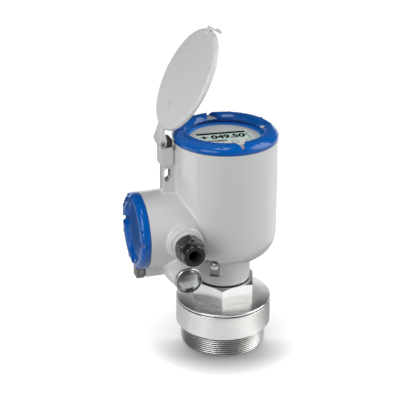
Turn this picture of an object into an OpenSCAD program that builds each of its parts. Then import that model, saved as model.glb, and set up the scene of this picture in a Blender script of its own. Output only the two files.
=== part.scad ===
// Radar level transmitter: a two-compartment cast housing with a display on top, turning on a
// stainless threaded process connection that holds the lens antenna.
// Origin: centre of the lower end of the process thread. +Z runs up the main axis.
// -X is the terminal compartment, -Y the side of the cable entries.

/* [Process connection] */
// Major diameter of the process thread
thread_d = 87.88; // [80:0.02:94]
// Length of the process thread
thread_len = 21.6; // [18:0.2:30]
// Diameter of the ring above the thread
ring_d = 97.6; // [95:0.2:104]
// Height of that ring
ring_h = 25.7; // [20:0.1:32]
// Chamfer at the start of the thread
thread_chamfer = 1; // [0.4:0.1:1.6]
// Diameter of the lens antenna
lens_d = 74.8; // [66:0.2:76]
// Thickness of the lens at its edge
lens_edge = 11; // [9:0.5:13]
// Height of the lens crown above its edge
lens_crown = 9; // [5:0.5:12]
// Distance that the lens is set back from the thread's end
lens_setback = 0; // [0:0.1:1.5]

/* [Hex adapter] */
// Thickness of the gasket between ring and adapter
gasket_t = 0.6; // [0.4:0.1:1.5]
// Thickness of the adapter's disc
disc_t = 2.3; // [2:0.1:6]
// Hexagon size across flats
hex_af = 60.2; // [56:0.2:64]
// Height of the hexagon
hex_h = 20.8; // [16:0.1:28]
// Width of the chamfer on the hexagon's corners
hex_chamfer = 3.4; // [2:0.1:5]
// Diameter of the swivel spigot
spigot_d = 42; // [38:0.2:44]
// Height of the swivel spigot inside the neck
spigot_h = 19; // [18:0.1:19.4]
// Outer diameter of the waveguide tube
guide_d = 18; // [14:0.2:20]
// Wall of the waveguide tube
guide_wall = 2; // [1:0.1:3]

/* [Housing] */
// Height of the wiper seal between hexagon and neck
wiper_h = 2; // [1.5:0.1:4]
// Outer diameter of the neck
neck_d = 54.4; // [52:0.2:60]
// Height of the neck up to the bowl
neck_h = 26; // [24:0.5:34]
// Width of the main compartment's rim round the display window
main_rim = 16.1; // [15.4:0.1:18]
// Radius of the rounded bowl
bowl_r = 25; // [20:0.5:28]
// Height of the main compartment above the bowl
main_h = 99.7; // [95:0.1:130]
// Wall thickness of the castings
wall = 5.4; // [4:0.1:6]

/* [Terminal compartment] */
// Outer diameter of the terminal compartment at its root
tc_root_d = 79.2; // [78.4:0.2:82]
// Outer diameter of the terminal compartment at its mouth
tc_mouth_d = 76.8; // [76:0.2:78]
// Length of the terminal compartment beyond the main compartment's wall
tc_len = 34.1; // [33.5:0.1:45]
// Height of its axis above the bowl's centre
tc_rise = 10.5; // [8:0.5:16]
// Depth of the wiring space
tc_depth = 32.5; // [30:0.5:33]

/* [Cable entries] */
// Distance of both entries behind the terminal compartment's mouth
entry_back = 33; // [31:0.5:34]
// Reach of the entry bosses from the compartment's axis
entry_reach = 50; // [48:0.5:56]
// Distance between the two entries
entry_pitch = 35.1; // [34:0.1:37]
// Diameter of the entry thread
entry_d = 20; // [18:0.5:21]
// Outer diameter of a boss at its end
boss_d = 27; // [26.6:0.2:30]

/* [Screw covers] */
// Height of the display cover
cover_h = 9; // [8:0.1:11]
// Diameter of the display window
window_d = 72.6; // [66:0.2:74]
// Thickness of the display glass
glass_t = 4; // [3:0.1:5]
// Height of the terminal cover
tcover_h = 9.7; // [9:0.1:12]
// Number of spanner notches in each cover
notches = 4; // [3:1:6]
// Travel of a cover when it is screwed off
cover_travel = 8; // [6:0.5:9]

/* [Hood] */
// Opening angle of the hood from closed
hood_open = 61; // [0:1:110]
// Distance of the hood's rim inside the main compartment's wall
hood_inset = 0.4; // [0:0.1:0.6]
// Thickness of the hood's sheet
hood_t = 1.6; // [1.2:0.1:1.8]
// Distance of the hinge pin from the main compartment's wall
pin_reach = 13.4; // [13:0.1:16]
// Diameter of the hinge pin
pin_d = 4; // [3:0.1:4.2]
// Width of the hood's arm
arm_w = 17; // [16.4:0.2:20]

/* [Cable gland] */
// Hexagon of the gland across flats
gland_af = 25; // [24:0.5:26]
// Diameter of the cable hole in the gland's seal
cable_d = 10.4; // [8:0.2:12]
// Reach of the gland nut beyond the boss
gland_len = 22.3; // [21:0.1:26]

/* [Hidden] */
$fn = 96;
fine = 32;
eps = 0.05;
fit = 0.05;       // radial running clearance of the parts that turn or slide in a bore
gap = 0.3;        // clearance between parts that only pass each other
seat = 0.2;       // axial clearance of rings in their grooves

// heights up the main axis
z_gasket = thread_len + ring_h;
z_disc = z_gasket + gasket_t;
z_hex = z_disc + disc_t;
z_wiper = z_hex + hex_h;
z_neck = z_wiper + wiper_h;
z_bowl = z_neck + neck_h + bowl_r;
z_top = z_bowl + main_h;
z_tc = z_bowl + tc_rise;

// process connection
thread_r = thread_d / 2;
ring_r = ring_d / 2;
lens_r = lens_d / 2;
lens_seat_z = lens_setback + lens_edge;
lens_groove = 2;
lens_seal_r = 0.9;
guide_r = guide_d / 2;
lower_spigot_r = guide_r + 6;
lower_spigot_h = 9.5;
horn_top_z = z_disc - lower_spigot_h - gap;
horn_mouth_r = lens_r - 3.5;

// swivel
spigot_r = spigot_d / 2;
spigot_top = z_neck + spigot_h;
ring_groove_z = z_neck + 15;
ring_groove_h = 2.2;
ring_groove_d = 1.6;
oring_z = z_neck + 6;
oring_r = 0.85;
lock_groove_z = z_neck + 9;
lock_groove_h = 4.8;
lock_groove_d = 1.2;
neck_screw_az = 70;
neck_screw_r = 2;

// housing
neck_r = neck_d / 2;
main_r = window_d / 2 + main_rim;
tc_reach = main_r + tc_len;
entry_x = tc_reach - entry_back;
bore_r = main_r - wall;
mouth_depth = 11;
cavity_r = bore_r - 1.5;
cavity_z = z_bowl - 12;
tc_bore_r = tc_mouth_d / 2 - wall + 1;
tc_floor = tc_reach - tc_depth;
entry_r = entry_d / 2;
z_gland = z_tc;
z_plug = z_tc - entry_pitch;
boss_r = boss_d / 2;
boss_root_r = boss_r + 3.5;
collar_r = boss_r + 3.9;
collar_step = 4;
stem_r = 9;

// O-rings under the cover flanges
flange_gap = 0.3;
seal_r = 1;
seal_recess = 2.4;
seal_recess_w = 2.8;
seal_ring_r = bore_r + 1.5;
tc_seal_ring_r = tc_bore_r + 1.5;

// covers
cover_r = main_r + 0.1;
cover_edge = 3.5;
cover_top_r = cover_r - 6;
window_r = window_d / 2;
glass_r = window_r + 4.7;
glass_seat = 4;
window_gasket_t = 0.6;
window_ring_h = 3.5;
cover_spigot = 10;
tcover_r = tc_mouth_d / 2 + 0.35;
tcover_top_r = tcover_r - 4.2;
tcover_in_r = 28.7;
tcover_edge = 4.6;
tcover_floor = 6.3;
tcover_spigot = 9;
notch_floor = 3.8;      // depth of a spanner notch
bump_turn = 23;         // angle from a notch to the bosses beside it
bump_r = 2.3;

// rib, hinge bracket and hood
hood_r = main_r - hood_inset;
pin_x = main_r + pin_reach;
rib_w = 12;
rib_r = main_r + 13;
rib_z0 = z_tc + tc_root_d / 2 - 2;
slot_w = 7;
slot_h = 15;
slot_x = rib_r - 1.5 - slot_w / 2;
slot_z = z_top - 31;
bracket_z0 = z_top - 20.2;
bracket_z1 = z_top - 2.2;
bracket_t = 2;
bracket_cap = 4;
pin_z = z_top + 2.3;
pin_r = pin_d / 2;
eye_r = 4;
block_head_r = 3.3;
cheek_t = 1.8;
arm_in_w = arm_w - 2 * cheek_t;
block_w = arm_in_w - 2 * gap - 0.6;
face_v = z_top + flange_gap + cover_h + 0.8 + hood_t - pin_z;
rim_v = face_v - 4.6;
roll_r = 3.4;
arm_end_u = -1;
arm_v0 = 5.2;
arm_join_u = 28;
catch_gap = 1;

// ground terminal on the neck
ground_az = -124;
ground_r = neck_r + 5.3;
ground_w = 9;
ground_z0 = z_neck + 13;
ground_z1 = z_neck + 35.5;
ground_screw_z = z_neck + 25;
ground_head_r = 4.2;
pocket_w = 13;
pocket_z1 = z_neck + 38.5;

// terminal cover lock under the compartment
lug_w = 12;
lug_x = tc_reach - 2.5;
lug_l = 26;
lock_h = 11.4;
lock_x = tc_reach + 7.2;
lock_top = z_tc - tcover_r - gap;
lug_z0 = lock_top - lock_h;
tongue_w = 5.6;
tongue_h = 10.2;
tongue_reach = lug_x + 7;
lock_screw_x = tc_reach + 1.9;
lock_screw_z = lug_z0 + 6;
lock_screw_r = 1.6;
lock_travel = 3;

// display
display_turn = -5;
display_r = window_r - 0.1;
display_z = z_top - 1.1;
display_flange_z = display_z - 19.6;
display_flange_t = 3;
module_top_z = display_flange_z - 13;
post_r = 4;
display_screw_ring_r = display_r + 2.8;
display_screw_r = 1.5;
strip_pitch = 8;
strip_l = 5 * strip_pitch + 2;
strip_w = 22;
strip_h = 16;
strip_step_h = 10;
strip_y0 = -18;
strip_screw_h = 10;
strip_screw_r = 2.4;
lcd_w = 53;
lcd_d = 25;
lcd_y = 5;
key_r = 4.6;
key_pitch = 14.8;
key_y = -15.4;

// gland
gland_hex_h = 6.5;
gland_gasket_t = 1;
nut_y0 = entry_reach + gland_gasket_t + gland_hex_h + gap;
nut_y1 = entry_reach + gland_len;
gland_thread_r = 9.5;
nut_r = 12.5;
nut_tip_r = 10.3;

// ---------------------------------------------------------------- frames and helpers

// +Z becomes the terminal compartment's axis, pointing out of its mouth
module along_terminal() translate([0, 0, z_tc]) rotate([0, -90, 0]) children();

// +Z becomes the axis of a cable entry, pointing out of its boss
module along_entry(z) translate([-entry_x, 0, z]) rotate([90, 0, 0]) children();

// +X points away from the neck through the ground terminal
module at_ground() rotate([0, 0, ground_az]) children();

// x runs from the hinge pin across the hood, z through its face
module at_hood() translate([-pin_x, 0, pin_z]) rotate([0, -hood_open, 0]) children();

module ring(r1, r2, h) difference() {
    cylinder(r = r2, h = h);
    translate([0, 0, -eps]) cylinder(r = r1, h = h + 2 * eps);
}

module torus(r, r_section) rotate_extrude() translate([r, 0]) circle(r = r_section, $fn = fine);

// points of a quadratic curve from a to c, drawn towards b
function curve(a, b, c, n = 8) = [for (i = [0:n]) let (t = i / n)
    (1 - t) * (1 - t) * a + 2 * t * (1 - t) * b + t * t * c];

// points of an arc
function arc(c, r, a0, a1, n = 12) = [for (i = [0:n]) let (a = a0 + (a1 - a0) * i / n)
    c + r * [cos(a), sin(a)]];

module hex_prism(af, h) rotate([0, 0, 30]) cylinder(r = af / 2 / cos(30), h = h, $fn = 6);

// ---------------------------------------------------------------- process connection

// Threaded ring with the horn bored up through it
module process_connection() color("#b9b6b1") difference() {
    union() {
        cylinder(r1 = thread_r - thread_chamfer, r2 = thread_r, h = thread_chamfer);
        translate([0, 0, thread_chamfer]) cylinder(r = thread_r, h = thread_len - thread_chamfer);
        translate([0, 0, thread_len]) cylinder(r = ring_r, h = ring_h);
    }
    translate([0, 0, -eps]) cylinder(r = lens_r + fit, h = lens_seat_z + eps);
    translate([0, 0, lens_seat_z - eps])
        cylinder(r1 = horn_mouth_r, r2 = guide_r - guide_wall, h = horn_top_z - lens_seat_z + 2 * eps);
    translate([0, 0, horn_top_z]) cylinder(r = lower_spigot_r + fit, h = z_gasket);
}

// Plano-convex lens with an O-ring groove in its edge
module lens_antenna() color("#8f8674") translate([0, 0, lens_setback]) rotate_extrude()
    polygon(concat(
        [[0, 0], [lens_r, 0], [lens_r, lens_edge / 2 - lens_groove / 2 - 0.1],
         [lens_r - lens_groove, lens_edge / 2 - lens_groove / 2 - 0.1],
         [lens_r - lens_groove, lens_edge / 2 + lens_groove / 2 + 0.1],
         [lens_r, lens_edge / 2 + lens_groove / 2 + 0.1], [lens_r, lens_edge]],
        curve([horn_mouth_r - 1.5, lens_edge], [horn_mouth_r / 2, lens_edge + lens_crown * 1.05],
              [0, lens_edge + lens_crown])));

module lens_seal() color("#1c1c1c") translate([0, 0, lens_setback + lens_edge / 2])
    torus(lens_r - lens_groove + lens_seal_r + 0.15, lens_seal_r);

module flange_gasket() color("#141414") translate([0, 0, z_gasket])
    ring(lower_spigot_r + 1, ring_r - 1.2, gasket_t);

// Disc, hexagon and the two spigots, turned and milled from one bar
module hex_adapter() color("#c4c2bf") difference() {
    union() {
        translate([0, 0, z_disc - lower_spigot_h]) cylinder(r = lower_spigot_r, h = lower_spigot_h);
        translate([0, 0, z_disc]) cylinder(r = ring_r, h = disc_t);
        intersection() {
            translate([0, 0, z_hex]) rotate([0, 0, 10]) cylinder(r = hex_af / 2 / cos(30), h = hex_h, $fn = 6);
            translate([0, 0, z_hex]) rotate_extrude() polygon([[0, 0],
                [hex_af / 2 / cos(30) + 1, 0], [hex_af / 2 / cos(30) + 1, hex_h - hex_chamfer * 0.6],
                [hex_af / 2 / cos(30) - hex_chamfer, hex_h], [0, hex_h]]);
        }
        translate([0, 0, z_wiper]) cylinder(r = spigot_r, h = spigot_top - z_wiper);
    }
    translate([0, 0, z_disc - lower_spigot_h - eps]) cylinder(r = guide_r + fit, h = z_neck + spigot_h);
    translate([0, 0, oring_z - oring_r - 0.1]) ring(spigot_r - 2, spigot_r + 1, 2 * oring_r + 0.2);
    translate([0, 0, lock_groove_z]) ring(spigot_r - lock_groove_d, spigot_r + 1, lock_groove_h);
    translate([0, 0, ring_groove_z]) ring(spigot_r - ring_groove_d, spigot_r + 1, ring_groove_h);
}

module waveguide() color("#d6d2ca") translate([0, 0, z_disc - lower_spigot_h])
    ring(guide_r - guide_wall, guide_r, spigot_top - (z_disc - lower_spigot_h));

module spigot_seal() color("#1c1c1c") translate([0, 0, oring_z]) torus(spigot_r - 1, oring_r);

// Split retaining ring that keeps the housing on the spigot
module retaining_ring() color("#8d8f92") translate([0, 0, ring_groove_z + seat]) difference() {
    ring(spigot_r - ring_groove_d + seat, spigot_r + ring_groove_d - 0.1, ring_groove_h - 2 * seat);
    translate([spigot_r - 4, -2, -1]) cube([8, 4, 4]);
}

// Wiper lip that closes the swivel between hexagon and neck
module wiper_seal() color("#161616") translate([0, 0, z_wiper]) rotate_extrude()
    polygon([[spigot_r + fit, 0], [neck_r + 1.6, 0], [neck_r + 1.2, wiper_h * 0.6],
             [neck_r - 0.8, wiper_h], [spigot_r + fit, wiper_h]]);

// ---------------------------------------------------------------- housing casting

module housing_shell() {
    rotate_extrude() polygon(concat(
        [[0, z_neck], [neck_r, z_neck]],
        curve([neck_r, z_neck + neck_h - 4.5], [neck_r + 0.3, z_neck + neck_h - 0.4],
              [neck_r + 7, z_neck + neck_h + 1], 6),
        arc([main_r - bowl_r, z_bowl], bowl_r, -72, 0, 14),
        [[main_r, z_top], [0, z_top]]));
    // terminal compartment, slightly tapered towards its mouth
    along_terminal() translate([0, 0, 20])
        cylinder(r1 = tc_root_d / 2, r2 = tc_mouth_d / 2, h = tc_reach - 20);
    // entry bosses with flared roots
    along_entry(z_plug) {
        translate([0, 0, 8]) cylinder(r1 = boss_root_r, r2 = boss_r, h = entry_reach - 8);
        translate([0, 0, 26]) cylinder(r1 = boss_root_r + 3, r2 = boss_r + 1, h = 18);
    }
    along_entry(z_gland) {
        cylinder(r = boss_r, h = entry_reach);
        translate([0, 0, 8]) cylinder(r1 = collar_r + 3, r2 = collar_r, h = entry_reach - collar_step - 13);
        translate([0, 0, 30]) cylinder(r = collar_r, h = entry_reach - collar_step - 30.8);
        translate([0, 0, entry_reach - collar_step - 0.8 - eps]) cylinder(r1 = collar_r, r2 = collar_r - 0.8, h = 0.8 + eps);
    }
    // rib that carries the hinge bracket
    translate([-rib_r, -rib_w / 2, rib_z0]) cube([rib_r - main_r + 4, rib_w, bracket_z1 - bracket_cap - rib_z0]);
    // lug and tongue for the cover lock
    translate([-lug_x, -lug_w / 2, lug_z0]) cube([lug_l, lug_w, z_tc - tc_mouth_d / 2 - lug_z0 + 4]);
    translate([-tongue_reach, -tongue_w / 2, lug_z0 + 0.3]) cube([tongue_reach - lug_x + 1, tongue_w, tongue_h]);
    // pad of the ground terminal
    at_ground() translate([neck_r - 4, -ground_w / 2 - 1, ground_z0 - 1])
        cube([ground_r - neck_r + 4, ground_w + 2, ground_z1 - ground_z0 + 8]);
}

module housing_body() color("#c3c5c7") difference() {
    housing_shell();
    // swivel bore with its retaining groove
    translate([0, 0, z_neck - eps]) cylinder(r = spigot_r + fit, h = spigot_h + gap + eps);
    translate([0, 0, ring_groove_z]) cylinder(r = spigot_r + ring_groove_d, h = ring_groove_h);
    translate([0, 0, z_neck + spigot_h]) cylinder(r = stem_r + fit, h = cavity_z - z_neck - spigot_h + eps);
    // main compartment
    translate([0, 0, cavity_z]) cylinder(r = cavity_r, h = z_top);
    translate([0, 0, z_top - mouth_depth]) cylinder(r = bore_r, h = mouth_depth + eps);
    translate([0, 0, z_top - seal_recess]) cylinder(r = bore_r + seal_recess_w, h = seal_recess + eps);
    // wiring space and the way through to the main compartment
    along_terminal() {
        translate([0, 0, tc_floor]) cylinder(r = tc_bore_r, h = tc_depth + eps);
        translate([0, 0, tc_reach - seal_recess]) cylinder(r = tc_bore_r + seal_recess_w, h = seal_recess + eps);
        translate([0, 0, cavity_r - 8]) cylinder(r = 7 + fit, h = tc_floor - cavity_r + 9);
    }
    // cable entries
    along_entry(z_gland) translate([0, 0, 22]) cylinder(r = entry_r, h = entry_reach);
    along_entry(z_plug) translate([0, 0, -2]) cylinder(r = entry_r, h = entry_reach + 10);
    // slot through the rib
    translate([-slot_x, 0, slot_z]) rotate([90, 0, 0]) linear_extrude(rib_w + 2, center = true)
        for (s = [-1, 1]) translate([0, s * (slot_h - slot_w) / 2]) circle(d = slot_w, $fn = fine);
    translate([-slot_x - slot_w / 2, -rib_w, slot_z - (slot_h - slot_w) / 2])
        cube([slot_w, 2 * rib_w, slot_h - slot_w]);
    // holes for the bracket screws
    for (z = [bracket_z0 + 5, bracket_z1 - bracket_cap - 4]) translate([-rib_r + 6, rib_w / 2 + eps, z])
        rotate([90, 0, 0]) cylinder(r = 1.5 + fit, h = 7, $fn = fine);
    // pocket and screw hole of the ground terminal
    at_ground() {
        translate([ground_r, -pocket_w / 2, ground_z0 - 2]) cube([40, pocket_w, pocket_z1 - ground_z0 + 2]);
        translate([ground_r - 6, 0, ground_screw_z]) rotate([0, 90, 0]) cylinder(r = 2 + fit, h = 8, $fn = fine);
    }
    // upright slot of the cover lock's cross screw
    for (dz = [-lock_travel, 0]) translate([-lock_screw_x, 0, lock_screw_z + dz]) rotate([90, 0, 0])
        cylinder(r = lock_screw_r + 0.1, h = tongue_w + 2, center = true, $fn = fine);
    translate([-lock_screw_x - lock_screw_r - 0.1, -tongue_w, lock_screw_z - lock_travel])
        cube([2 * lock_screw_r + 0.2, 2 * tongue_w, lock_travel]);
    // set screw in the neck
    rotate([0, 0, neck_screw_az]) translate([spigot_r - 1, 0, lock_groove_z + lock_groove_h / 2])
        rotate([0, 90, 0]) cylinder(r = neck_screw_r + fit, h = 12, $fn = fine);
}

module neck_screw() color("#4a4c50") rotate([0, 0, neck_screw_az])
    translate([spigot_r - lock_groove_d + 0.5, 0, lock_groove_z + lock_groove_h / 2]) rotate([0, 90, 0]) difference() {
        cylinder(r = neck_screw_r, h = 6.2, $fn = fine);
        translate([0, 0, 3.6]) hex_prism(2.5, 4);
    }

// ---------------------------------------------------------------- electronics

// Potted sensor electronics with the stem that feeds the waveguide
module sensor_module() color("#3b4046") {
    translate([0, 0, cavity_z]) cylinder(r = cavity_r - 1.5, h = module_top_z - cavity_z);
    translate([0, 0, spigot_top + gap]) cylinder(r = stem_r, h = cavity_z - spigot_top - gap + eps);
    translate([-16, -20, module_top_z - eps]) cube([32, 12, 5]);
    for (a = [90:120:330]) rotate([0, 0, a]) translate([display_screw_ring_r, 0, module_top_z - eps])
        difference() {
            cylinder(r = post_r, h = display_flange_z - module_top_z + eps, $fn = fine);
            translate([0, 0, 4]) cylinder(r = display_screw_r + fit, h = 13, $fn = fine);
        }
}

// Sealed bushing between the two compartments
module cable_feedthrough() color("#26282b") along_terminal() {
    translate([0, 0, cavity_r - 1.2]) cylinder(r = 7, h = tc_floor - cavity_r + 1.2 + eps);
    translate([0, 0, tc_floor]) cylinder(r = 9, h = 1.7);
}

// Display module: flanged body with the pale faceplate
module display_carrier() color("#e9ebe6") rotate([0, 0, display_turn]) difference() {
    union() {
        translate([0, 0, display_flange_z]) cylinder(r = cavity_r - 1.5, h = display_flange_t);
        translate([0, 0, display_flange_z]) cylinder(r = display_r - 1, h = display_z - display_flange_z - 1);
        translate([0, 0, display_z - 3]) cylinder(r = display_r, h = 3);
    }
    translate([-lcd_w / 2, lcd_y - lcd_d / 2, display_z - 2]) cube([lcd_w, lcd_d, 3]);
    for (k = [-1.5:1:1.5]) translate([k * key_pitch, key_y, display_z - 0.4]) ring(key_r - 0.35, key_r, 1);
    rotate([0, 0, -display_turn]) for (a = [90:120:330]) rotate([0, 0, a])
        translate([display_screw_ring_r, 0, display_flange_z - 1]) cylinder(r = display_screw_r + 0.2, h = 6, $fn = fine);
}

module display_screws() color("#a9acb0") for (a = [90:120:330]) rotate([0, 0, a])
    translate([display_screw_ring_r, 0, display_flange_z + display_flange_t]) {
        difference() {
            cylinder(r = 2.9, h = 2, $fn = fine);
            translate([-2, -0.4, 1]) cube([4, 0.8, 2]);
            translate([-0.4, -2, 1]) cube([0.8, 4, 2]);
        }
        translate([0, 0, -8]) cylinder(r = display_screw_r, h = 8 + eps, $fn = fine);
    }

module lcd_panel() color("#c9dcd0") rotate([0, 0, display_turn])
    translate([-lcd_w / 2 + 0.1, lcd_y - lcd_d / 2 + 0.1, display_z - 2]) cube([lcd_w - 0.2, lcd_d - 0.2, 1.6]);

// Clamp strip on the floor of the wiring space
module terminal_block() color("#4f8a5b") along_terminal() translate([0, 0, tc_floor + 2]) difference() {
    union() {
        translate([-strip_w / 2, strip_y0, 0]) cube([strip_w, strip_l, strip_step_h]);
        translate([-strip_w / 2 + 5, strip_y0, strip_step_h - eps]) cube([strip_w - 5, strip_l, strip_h - strip_step_h]);
    }
    for (i = [0:4]) translate([3, strip_y0 + 5 + i * strip_pitch, strip_screw_h - 2])
        cylinder(r = strip_screw_r + 0.2, h = strip_h, $fn = fine);
    for (i = [0:4]) translate([-strip_w / 2 - 1, strip_y0 + 2 + i * strip_pitch, 3.5])
        cube([5, strip_pitch - 2, 4.5]);
}

module terminal_screws() color("#b8bbbe") along_terminal()
    for (i = [0:4]) translate([3, strip_y0 + 5 + i * strip_pitch, tc_floor + 2 + strip_screw_h - 2]) difference() {
        cylinder(r = strip_screw_r, h = 4.6, $fn = fine);
        translate([-3, -0.4, 3.4]) cube([6, 0.8, 2]);
    }

// ---------------------------------------------------------------- hinge and hood

// Folded saddle round the top of the rib
module hinge_bracket() color("#b4b6b9") difference() {
    translate([-rib_r - bracket_t, -rib_w / 2 - bracket_t, bracket_z0])
        cube([rib_r + bracket_t - main_r - 3, rib_w + 2 * bracket_t, bracket_z1 - bracket_z0]);
    translate([-rib_r, -rib_w / 2, bracket_z0 - 1])
        cube([rib_r, rib_w, bracket_z1 - bracket_cap - bracket_z0 + 1]);
    for (z = [bracket_z0 + 5, bracket_z1 - bracket_cap - 4]) translate([-rib_r + 6, rib_w / 2 + bracket_t + 1, z])
        rotate([90, 0, 0]) cylinder(r = 1.7, h = 5, $fn = fine);
}

module bracket_screws() color("#a9acb0")
    for (z = [bracket_z0 + 5, bracket_z1 - bracket_cap - 4])
        translate([-rib_r + 6, rib_w / 2 + bracket_t, z]) rotate([-90, 0, 0]) {
            difference() {
                cylinder(r = 2.8, h = 1.8, $fn = fine);
                translate([0, 0, 0.8]) hex_prism(2, 2);
            }
            translate([0, 0, -7]) cylinder(r = 1.5, h = 7 + eps, $fn = fine);
        }

// Knuckle on the bracket that the hood's pin runs through
module hinge_block() color("#55584f") difference() {
    rotate([90, 0, 0]) linear_extrude(block_w, center = true) {
        translate([-pin_x, pin_z]) circle(r = block_head_r, $fn = 64);
        polygon([[-pin_x - 1.6, bracket_z1], [-pin_x - 3.1, pin_z - 1.1], [-pin_x, pin_z + block_head_r - 0.02],
                 [-main_r - 5, pin_z + 4.2], [-main_r - 3.4, pin_z + 3.2], [-main_r - 3, bracket_z1]]);
    }
    translate([-pin_x, 0, pin_z]) rotate([90, 0, 0]) cylinder(r = pin_r + fit, h = 30, center = true, $fn = 48);
}

// Pin with a turned head, held in the hood's cheeks
module hinge_pin() color("#c9cbce") translate([-pin_x, 0, pin_z]) rotate([90, 0, 0]) difference() {
    union() {
        cylinder(r = pin_r, h = arm_w + 1, center = true, $fn = 48);
        translate([0, 0, arm_w / 2 + 0.1]) cylinder(r = 2.9, h = 1.2, $fn = 48);
        translate([0, 0, -arm_w / 2 - 1.3]) cylinder(r = 2.9, h = 1.2, $fn = 48);
    }
    translate([0, 0, arm_w / 2 + 0.5]) cylinder(r = 1.2, h = 2, $fn = fine);
}

// Weather hood: shallow pressed lid with a rolled rim and a channel arm down to the pin
module hood() color("#cfd1d2") at_hood() difference() {
    union() {
        translate([pin_x, 0, 0]) rotate_extrude() polygon(concat(
            [[0, face_v - hood_t]],
            arc([hood_r - roll_r, face_v - roll_r], roll_r - hood_t, 90, 0, 6),
            [[hood_r - hood_t, rim_v], [hood_r, rim_v]],
            arc([hood_r - roll_r, face_v - roll_r], roll_r, 0, 90, 8),
            [[0, face_v]]));
        // web of the arm, which rises out of the face and tapers to a point
        intersection() {
            rotate([90, 0, 0]) linear_extrude(arm_w, center = true)
                polygon([[arm_end_u, arm_v0 - hood_t], [arm_join_u - 12.5, arm_v0 + 0.8],
                         [arm_join_u - 9, face_v - hood_t - 0.2], [arm_join_u, face_v - hood_t],
                         [arm_join_u + 15, face_v - hood_t + 0.2], [arm_join_u + 14, face_v + 0.1],
                         [arm_join_u + 10.5, face_v + 1.2], [arm_join_u + 4, face_v + 1.3], [17, 8.2], [arm_end_u, arm_v0]]);
            linear_extrude(face_v + 3) polygon([[arm_end_u - 1, -arm_w / 2], [15, -arm_w / 2], [arm_join_u, -6.2],
                [arm_join_u + 11, -1.6], [arm_join_u + 13.5, 0], [arm_join_u + 11, 1.6], [arm_join_u, 6.2],
                [15, arm_w / 2], [arm_end_u - 1, arm_w / 2]]);
        }
        // cheeks
        for (s = [-1, 1]) translate([0, s * (arm_w - cheek_t) / 2, 0]) rotate([90, 0, 0])
            linear_extrude(cheek_t, center = true) {
                circle(r = eye_r, $fn = 48);
                polygon([[-1.6, -3.65], [4, -2], [pin_x - main_r - 0.9, rim_v], [pin_x - main_r + 1.4, rim_v],
                         [pin_x - main_r + 1.4, face_v - 1.6], [arm_end_u, arm_v0 - 0.4], [-3.9, 0.7]]);
            }
    }
    rotate([90, 0, 0]) cylinder(r = pin_r + fit, h = arm_w + 2, center = true, $fn = 48);
}

// Spring tongue riveted to the hood's front edge
module hood_catch() color("#b6b8ba") at_hood() translate([pin_x + hood_r, 0, 0]) {
    translate([-6, -2.8, face_v]) cube([7.6 + catch_gap, 5.6, 1.8]);
    translate([catch_gap, -1.9, 0]) cube([1.6, 3.8, face_v + 1.7]);
    translate([catch_gap, -4.2, -1.6]) cube([2.6, 8.4, 3.2]);
    translate([-3.4, 0, face_v + 1.8 - eps]) cylinder(r = 1.5, h = 0.8, $fn = fine);
}

// ---------------------------------------------------------------- screw covers

// Wedge-shaped spanner notches and small bosses round the face of a cover
module notch_cuts(r_in, r_out, z) for (i = [0:notches - 1]) rotate([0, 0, i * 360 / notches + 1])
    translate([0, 0, z]) linear_extrude(20)
        polygon([[r_in, -5.5], [r_in, 5], [r_out + 3, 1.6], [r_out + 3, -0.4]]);

module cover_bumps(r, z, h) for (i = [0:notches - 1], s = [-1, 1])
    rotate([0, 0, i * 360 / notches + s * bump_turn]) translate([r, 0, z]) cylinder(r = bump_r, h = h, $fn = fine);

module display_cover() color("#1757a6") translate([0, 0, z_top + flange_gap]) difference() {
    union() {
        rotate_extrude() polygon(concat(
            [[glass_r + 0.1, -cover_spigot], [bore_r - fit, -cover_spigot], [bore_r - fit, 0], [cover_r, 0]],
            curve([cover_r, cover_edge], [cover_r - 2.1, cover_edge + 3.4], [cover_top_r, cover_h], 8),
            curve([window_r + 2.8, cover_h], [window_r + 0.4, cover_h - 0.3], [window_r, cover_h - 2.6], 5),
            [[window_r, glass_seat], [glass_r + 0.1, glass_seat]]));
        cover_bumps(cover_top_r + 1.2, cover_edge, cover_h - cover_edge - 0.9);
    }
    notch_cuts(window_r - 2, cover_top_r + 3, cover_h - notch_floor);
}

module display_window() color("#dfe9ea", 0.3) translate([0, 0, z_top + flange_gap + glass_seat - window_gasket_t - glass_t])
    cylinder(r = glass_r, h = glass_t);

module window_gasket() color("#202020") translate([0, 0, z_top + flange_gap + glass_seat - window_gasket_t])
    ring(window_r + 0.8, glass_r, window_gasket_t);

module window_ring() color("#2b2d30")
    translate([0, 0, z_top + flange_gap + glass_seat - window_gasket_t - glass_t - window_ring_h])
    difference() {
        ring(window_r + 0.7, glass_r + 0.05, window_ring_h);
        for (a = [0, 180]) rotate([0, 0, a]) translate([window_r + 2, 0, -eps]) cylinder(r = 1.1, h = 2, $fn = fine);
    }

module display_cover_seal() color("#1c1c1c") translate([0, 0, z_top - seal_r - 0.1]) torus(seal_ring_r, seal_r);

module terminal_cover() color("#1757a6") along_terminal() translate([0, 0, tc_reach + flange_gap]) difference() {
    union() {
        rotate_extrude() polygon(concat(
            [[0, 2.5], [tc_bore_r - 4, 2.5], [tc_bore_r - 4, -tcover_spigot], [tc_bore_r - fit, -tcover_spigot],
             [tc_bore_r - fit, 0], [tcover_r, 0]],
            curve([tcover_r, tcover_edge], [tcover_r - 1.2, tcover_h - 1.1], [tcover_top_r, tcover_h], 8),
            curve([tcover_in_r + 1.8, tcover_h], [tcover_in_r + 0.3, tcover_h - 0.2], [tcover_in_r, tcover_floor], 5),
            [[0, tcover_floor]]));
        cover_bumps(tcover_top_r + 0.6, tcover_edge, tcover_h - tcover_edge - 0.7);
    }
    notch_cuts(tcover_in_r - 1.5, tcover_top_r + 2.4, tcover_floor + 0.3);
}

module terminal_cover_seal() color("#1c1c1c") along_terminal() translate([0, 0, tc_reach - seal_r - 0.1])
    torus(tc_seal_ring_r, seal_r);

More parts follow.
